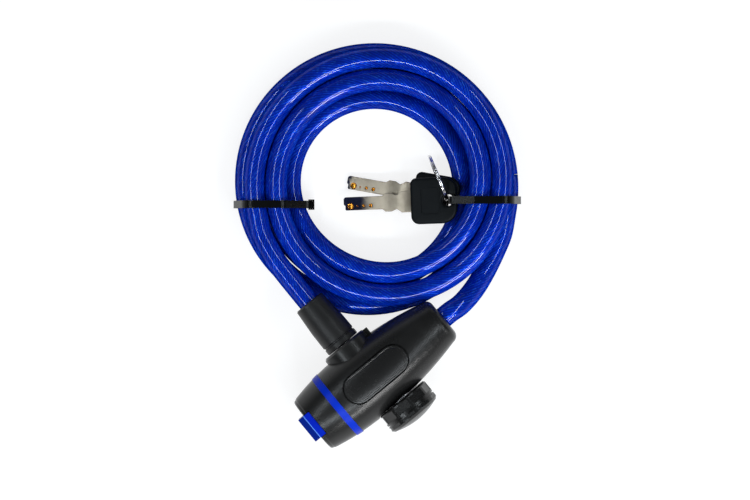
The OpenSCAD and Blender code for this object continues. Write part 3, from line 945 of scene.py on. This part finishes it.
@dataclass
class Cable:
    """The steel cable: a lead from the lock, the coil, and a lead to the bolt.

    The lead from the lock ends at the coil's meeting angle. The bends are the places, in
    millimetres, that each lead passes between its housing and the coil.
    """

    radius: float = 6 * MM
    sides: int = 28
    per_loop: int = 132
    meeting: float = 4
    spacing: float = 2.4 * MM
    body_length: float = 95 * MM
    sunk: float = 1 * MM
    straight: float = 5 * MM
    bolt_at: float = 42.3 * MM
    sleeve_mouth: float = 54.6 * MM
    before_mouth: float = 8 * MM
    ferrule_end: float = 37.35 * MM
    lock_bends: tuple[Place, ...] = (
        (46, 37.2, 19.8),
        (51, 42.2, 16.6),
        (55.5, 48, 12.8),
        (59.5, 54.5, 9.4),
        (63.2, 61.5, 7.4),
        (66.6, 68.8, 7),
    )
    bolt_bends: tuple[Place, ...] = ((-61.5, 70, 20.4), (-57.8, 63.6, 20.9), (-53, 57.2, 21.3))

    def __post_init__(self) -> None:
        """Work out the two routes."""
        self.coil = Coil()
        self.lock_route = self._lock_route()
        self.coil_route = self._coil_route()

    def _lock_route(self) -> list[Vector]:
        """Return the lead's route from inside the lock's end into the coil's first loop."""
        ends = self.body_length - self.sunk, self.body_length + self.straight
        lead = [LockFrame.point(along, 0) for along in ends]
        lead += [Vector(place) * MM for place in self.lock_bends]
        lead.append(self.coil.run_out(self.coil.start, -2 * self.radius))
        curve = smooth_route(lead + [self.coil.point(self.coil.start)], self.spacing)
        return curve + self.coil.points(self.coil.start, self.meeting, self.per_loop)[1:]

    def _coil_route(self) -> list[Vector]:
        """Return the route of the coil and of the lead to the bolt's sleeve."""
        turns = self.coil.points(self.meeting, self.coil.end, self.per_loop)
        lead = [turns[-1], self.coil.run_out(self.coil.end, 2 * self.radius)]
        lead += [Vector(place) * MM for place in self.bolt_bends]
        for across in (self.sleeve_mouth + self.before_mouth, self.sleeve_mouth, self.ferrule_end):
            lead.append(LockFrame.point(self.bolt_at, across))
        return turns + smooth_route(lead, self.spacing)[1:]

    @staticmethod
    def _length(path: Sequence[Vector]) -> float:
        """Return a path's length."""
        return sum((b - a).length for a, b in zip(path, path[1:]))

    def build(self) -> None:
        """Make both stretches of cable."""
        lead_length = self._length(self.lock_route)
        lead = self._stretch("cable_lead", self.lock_route, 0.0)
        ride_along(lead, None, JACKET)
        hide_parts("cable_lead_lock")
        end_face = LockFrame.point(self.body_length, 0)
        joined = self.coil.point(self.coil.start)
        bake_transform(lead)
        coil = self._stretch("cable_coil_and_bolt_lead", self.coil_route, lead_length)
        ride_along(coil, "cable", JACKET)
        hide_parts("cable_coil", "cable_lead_bolt")

    def _stretch(self, name: str, path: Sequence[Vector], start: float) -> bpy.types.Object:
        """Make one stretch of cable."""
        return make_piece(name, Tube(path, self.radius, self.sides, start).shape)


# ---- Ties ----


@dataclass
class TiePawl:
    """The locking tongue that fills the slot of a cable tie's head."""

    name: str
    middle: Place
    size: Place = (1.34 * MM, 4.4 * MM, 4.3 * MM)
    edge: float = 0.25 * MM
    crease: float = math.radians(50)

    def build(self) -> None:
        """Make the tongue in its slot."""
        shape = bmesh.new()
        bmesh.ops.create_cube(shape, size=1.0)
        bmesh.ops.scale(shape, vec=self.size, verts=shape.verts)
        round_off(shape, Rounding.EDGES, shape.edges[:], self.edge, segments=2)
        bmesh.ops.translate(shape, vec=self.middle, verts=shape.verts)
        pawl = make_piece(self.name, shape, crease=self.crease)
        ride_along(pawl, "cable", NYLON)
        LOG.info("%s: in its slot", self.name)


TIE_PAWLS = (
    TiePawl("tie_pawl_left", (-37.17 * MM, 94 * MM, 4.8 * MM)),
    TiePawl("tie_pawl_right", (38.47 * MM, 96.4 * MM, 2.45 * MM)),
)


# ---- Keys ----


class Plate:
    """A flat plate with the same two faces, made as its upper half and mirrored."""

    CORNER_SEGMENTS = 6
    EDGE_SEGMENTS = 3
    DISC_SIDES = 28
    WELD = 0.001 * MM

    def __init__(self, half: float) -> None:
        """Start an empty plate.

        Args:
            half: Half its thickness.
        """
        self.half = half
        self.shape = bmesh.new()
        self.rims: list[bmesh.types.BMEdge] = []
        self.floors: list[bmesh.types.BMFace] = []

    def outline(self, corners: Sequence[Place]) -> bmesh.types.BMFace:
        """Draw a closed outline with rounded corners.

        Args:
            corners: Each corner's place along and across and its radius, in order.

        Returns:
            The face inside the outline.
        """
        vertices = [self.shape.verts.new((x, y, 0)) for x, y, _ in corners]
        kept = set(self.shape.faces)
        self.shape.faces.new(vertices)
        for vertex, (_, _, radius) in zip(vertices, corners):
            if radius:
                round_off(self.shape, Rounding.CORNERS, [vertex], radius, self.CORNER_SEGMENTS)
        return (set(self.shape.faces) - kept).pop()

    def border(self, corners: Sequence[Place]) -> None:
        """Draw the plate's own outline."""
        self._open(self.outline(corners))

    def hole(self, radius: float) -> None:
        """Leave a round hole about the origin."""
        self._open(self.disc(0, 0, radius))

    def disc(self, along: float, across: float, radius: float) -> bmesh.types.BMFace:
        """Draw a round face.

        Args:
            along: Its centre's place along the plate.
            across: Its centre's place across the plate.
            radius: Its radius.

        Returns:
            The face.
        """
        kept = set(self.shape.faces)
        bmesh.ops.create_circle(
            self.shape,
            segments=self.DISC_SIDES,
            radius=radius,
            cap_ends=True,
            matrix=Matrix.Translation((along, across, 0)),
        )
        return (set(self.shape.faces) - kept).pop()

    def _open(self, face: bmesh.types.BMFace) -> None:
        """Keep a face's edges as a rim and take the face away."""
        self.rims += list(face.edges)
        bmesh.ops.delete(self.shape, geom=[face], context="FACES_ONLY")

    def close(self, edge: float) -> None:
        """Fill the top between all outlines, drop the walls and round the rims.

        Args:
            edge: Size of the rounding.
        """
        self.floors = list(self.shape.faces)
        bounds = self.rims + [side for floor in self.floors for side in floor.edges]
        bmesh.ops.triangle_fill(self.shape, use_beauty=True, use_dissolve=False, edges=bounds)
        for face in self.shape.faces:
            face.normal_update()
            if face.normal.z < 0:
                face.normal_flip()
        walls = bmesh.ops.extrude_edge_only(self.shape, edges=self.rims)["geom"]
        lower = [item for item in walls if isinstance(item, bmesh.types.BMVert)]
        bmesh.ops.translate(self.shape, vec=(0, 0, -self.half), verts=lower)
        round_off(self.shape, Rounding.EDGES, self.rims, edge, self.EDGE_SEGMENTS)

    def sink(self, steps: Pairs) -> None:
        """Sink each drawn face.

        Args:
            steps: Pairs of an inset and a depth, in order.
        """
        for floor in self.floors:
            for inset, depth in steps:
                bmesh.ops.inset_individual(
                    self.shape, faces=[floor], thickness=inset, depth=-depth, use_even_offset=True
                )

    def finish(self, place: Matrix) -> bmesh.types.BMesh:
        """Mirror the upper half, close the plate and put it in its place.

        Args:
            place: Transform from the plate's own frame to the model's frame.

        Returns:
            The finished shape.
        """
        bmesh.ops.translate(self.shape, vec=(0, 0, self.half), verts=self.shape.verts)
        everything = [*self.shape.verts, *self.shape.edges, *self.shape.faces]
        bmesh.ops.mirror(self.shape, geom=everything, axis="Z", merge_dist=self.WELD)
        bmesh.ops.remove_doubles(self.shape, verts=self.shape.verts, dist=self.WELD)
        bmesh.ops.recalc_face_normals(self.shape, faces=self.shape.faces)
        bmesh.ops.transform(self.shape, matrix=place, verts=self.shape.verts)
        return self.shape


@dataclass
class Key:
    """One key: a blade with dimples and a moulded head.

    The blade's shoulders are pairs of a distance from the head's back and a half width, and its
    dimples are pairs of a distance from the tip and a radius, all in millimetres.
    """

    name: str
    turn: float
    level: float
    # How far the painted dark reflection reaches from the blade's tip.
    dark_tip_reach: float
    crease: float = math.radians(35)
    head_half_width: float = 13.0 * MM
    head_half_thick: float = 2.1 * MM
    head_corners: tuple[float, ...] = (4.6 * MM, 8.4 * MM, 7.2 * MM, 3.4 * MM)
    head_edge: float = 1.5 * MM
    hole: float = 3.3 * MM
    panel_start: float = -15.2 * MM
    panel_end: float = -4.7 * MM
    panel_half_width: float = 7.5 * MM
    panel_corner: float = 1.5 * MM
    panel_steps: Pairs = ((0.2 * MM, 0.3 * MM),)
    blade_half_width: float = 3.75 * MM
    blade_edge: float = 0.3 * MM
    shoulders: Pairs = (
        (-1.0, 6.0),
        (5.2, 6.0),
        (6.6, 4.9),
        (8.3, 3.9),
        (11.2, 5.2),
        (14.6, 5.2),
        (16.4, 3.75),
    )
    tip_step: float = 0.9 * MM
    dimples: Pairs = ((4.1, 1.9), (8.0, 0.55), (11.6, 0.95), (15.7, 1.15))
    dimple_steps: Pairs = (
        (0.12 * MM, 0.2 * MM),
        (0.2 * MM, 0.15 * MM),
        (0.1 * MM, 0.05 * MM),
    )

    def build(self) -> None:
        """Make the blade and the head in the place of the plain ones."""
        metal = KeyMetal(f"{self.name}_metal", self.turn, self.level, self.dark_tip_reach)
        blade = self._piece("dimpled_blade", self._blade(), metal)
        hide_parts(f"{self.name}_blade")
        head = self._piece("moulded_head", self._head(), KEY_BLACK)
        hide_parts(f"{self.name}_head")
        LOG.info("%s: blade and head", self.name)

    def _piece(self, kind: str, plate: Plate, finish: Finish) -> bpy.types.Object:
        """Make a piece of the key from its plate.

        Args:
            kind: The end of the piece's name.
            plate: Its shape, in the key's own frame.
            finish: Its surface finish.

        Returns:
            The new object.
        """
        place = KeyRing.matrix(self.turn, self.level)
        piece = make_piece(f"{self.name}_{kind}", plate.finish(place), crease=self.crease)
        ride_along(piece, self.name, finish)
        return piece

    def _head(self) -> Plate:
        """Draw the head: a rounded plate with the ring's hole and a shallow panel."""
        plate = Plate(self.head_half_thick)
        ends = KeyRing.HEAD_BACK, KeyRing.HEAD_END
        plate.border(self._box(ends, self.head_half_width, self.head_corners))
        plate.hole(self.hole)
        ends = self.panel_start, self.panel_end
        plate.outline(self._box(ends, self.panel_half_width, (self.panel_corner,) * 4))
        plate.close(self.head_edge)
        plate.sink(self.panel_steps)
        return plate

    @staticmethod
    def _box(ends: tuple[float, float], half: float, radii: Sequence[float]) -> list[Place]:
        """List the rounded corners of a box, in order, from its first end's lower corner.

        Args:
            ends: Where the box starts and ends along the plate.
            half: Half its width.
            radii: The corners' radii.

        Returns:
            Each corner's place along and across and its radius.
        """
        low, high = ends
        places = ((low, -half), (high, -half), (high, half), (low, half))
        return [(along, across, radius) for (along, across), radius in zip(places, radii)]

    def _blade(self) -> Plate:
        """Draw the blade: shoulders, a waist, a stepped tip and a row of dimples."""
        back, tip, half = KeyRing.HEAD_BACK, KeyRing.TIP, self.blade_half_width
        upper = [(back - run * MM, width * MM, 0.0) for run, width in self.shoulders]
        lower = [(x, -y, 0.0) for x, y, _ in reversed(upper)]
        step = tip + self.tip_step
        nose = [
            (tip, half, 1.4 * MM),
            (tip, -0.5 * MM, 0.3 * MM),
            (step, -1.2 * MM, 0.0),
            (step, -half, 0.7 * MM),
        ]
        plate = Plate(KeyRing.BLADE_HALF)
        plate.border(upper + nose + lower)
        for run, radius in self.dimples:
            plate.disc(tip + run * MM, -KeyRing.ROW, radius * MM)
        plate.close(self.blade_edge)
        plate.sink(self.dimple_steps)
        return plate


KEYS = (
    Key("key_1", math.radians(2), 2.4 * MM, 19 * MM),
    Key("key_2", math.radians(-10), -2.4 * MM, 4 * MM),
)


# ---- Studio ----


COOL = (0.88, 0.95, 1.0)
NEUTRAL = (1.0, 1.0, 1.0)


@dataclass(frozen=True)
class Lamp:
    """One rectangular lamp: where it hangs, its size, its power and where it points."""

    name: str
    place: Place
    width: float
    depth: float
    watts: float
    tint: Place = NEUTRAL
    target: Place = (0.0, 0.07, 0.0)

    def hang(self) -> None:
        """Hang the lamp and turn it to its target."""
        data = bpy.data.lights.new(self.name, "AREA")
        data.shape = "RECTANGLE"
        data.size = self.width
        data.size_y = self.depth
        data.energy = self.watts
        data.color = self.tint
        light = bpy.data.objects.new(self.name, data)
        light.location = self.place
        aim = Vector(self.target) - Vector(self.place)
        light.rotation_euler = aim.to_track_quat("-Z", "Y").to_euler()
        light.visible_camera = False
        bpy.context.scene.collection.objects.link(light)


@dataclass
class Studio:
    """Camera, lamps, pale surroundings and floor.

    The surroundings are as bright as the horizon at the lock's level and fall to the zenith's
    brightness where a direction's height reaches that of the ceiling.
    """

    view_centre: tuple[float, float] = (-1.3 * MM, 68.4 * MM)
    view_width: float = 420 * MM
    view_plane: float = 21.5 * MM
    distance: float = 2.2
    far_clip: float = 20.0
    sensor: float = 36.0
    floor_radius: float = 3.0
    floor_sides: int = 64
    horizon: float = 0.85
    zenith: float = 0.05
    ceiling_from: float = 0.35
    lamps: tuple[Lamp, ...] = (
        Lamp("strip_left", (-1.0, 0.1, 1.5), 2.2, 0.1, 10.0, COOL),
        Lamp("strip_right", (1.0, 0.1, 1.5), 2.2, 0.1, 10.0, COOL),
        Lamp("strip_front", (0.0, -0.95, 1.5), 1.9, 0.12, 17.0, COOL),
        Lamp("low_strip", (0.92, -1.12, 0.9), 0.8, 0.12, 12.0),
    )

    def place_camera(self) -> None:
        """Hang the camera straight over the lock, looking down."""
        data = bpy.data.cameras.new("camera")
        data.sensor_width = self.sensor
        data.lens = self.sensor * self.distance / self.view_width
        data.clip_end = self.far_clip
        camera = bpy.data.objects.new("camera", data)
        camera.location = (*self.view_centre, self.view_plane + self.distance)
        bpy.context.scene.collection.objects.link(camera)
        bpy.context.scene.camera = camera

    def lay_floor(self) -> None:
        """Lay a wide pale floor that shows white and keeps the lock's shadow."""
        shape = bmesh.new()
        bmesh.ops.create_circle(
            shape, segments=self.floor_sides, radius=self.floor_radius, cap_ends=True
        )
        floor = make_piece("floor", shape, smooth=False)
        floor.data.materials.append(FLOOR.material())

    def fill_world(self) -> None:
        """Surround the lock with pale walls below a dark ceiling."""
        world = bpy.data.worlds.new("surroundings")
        bpy.context.scene.world = world
        tree = ShaderTree(world, "Background")
        direction = tree.node("ShaderNodeTexCoord", output="Generated")
        limits = {
            "Value": tree.split(direction)[2],
            "From Max": self.ceiling_from,
            "To Min": self.horizon,
            "To Max": self.zenith,
        }
        brightness = tree.node("ShaderNodeMapRange", None, limits)
        tree.surface(color=WHITE, strength=brightness)

    def build(self) -> None:
        """Set the studio up round the lock."""
        bpy.context.scene.view_settings.view_transform = "Standard"
        for lamp in self.lamps:
            lamp.hang()
        self.lay_floor()
        self.fill_world()


def main() -> None:
    """Load the frame and dress the cable lock piece by piece."""
    logging.basicConfig(level=logging.INFO, format="%(name)s: %(message)s", force=True)
    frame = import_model()
    nodes = frame["nodes"]
    studio = Studio()
    studio.place_camera()
    Cable().build()
    dress(nodes, SHELL, "body_shell", "nose_cap")
    dress(nodes, INLAY, "inlay_panel")
    dress(nodes, PANEL, "rest_panel", "socket_collar")
    dress(nodes, BLUE_PLASTIC, "trim_ring")
    dress(nodes, COVER_BLUE, "keyhole_cover")
    dress(nodes, KNOB_BLACK, "knob_grip", "knob_cap")
    dress(nodes, SLEEVE_BLACK, "bolt_sleeve")
    dress(nodes, NYLON, "cable_tie_left", "cable_tie_right")
    dress(nodes, STEEL, "bolt_pin", "latch", "plug_cam", "knob_screw", "knob_washer")
    dress(nodes, ZINC, "lock_core", "bolt_ferrule", "cable_ferrule")
    dress(nodes, BRASS, "cylinder_plug")
    dress(nodes, RING_METAL, "split_ring")
    for piece in (*TIE_PAWLS, *KEYS):
        piece.build()
    dress(nodes, STUB_BLUE, "cable_stub")
    studio.build()


if __name__ == "__main__":
    main()
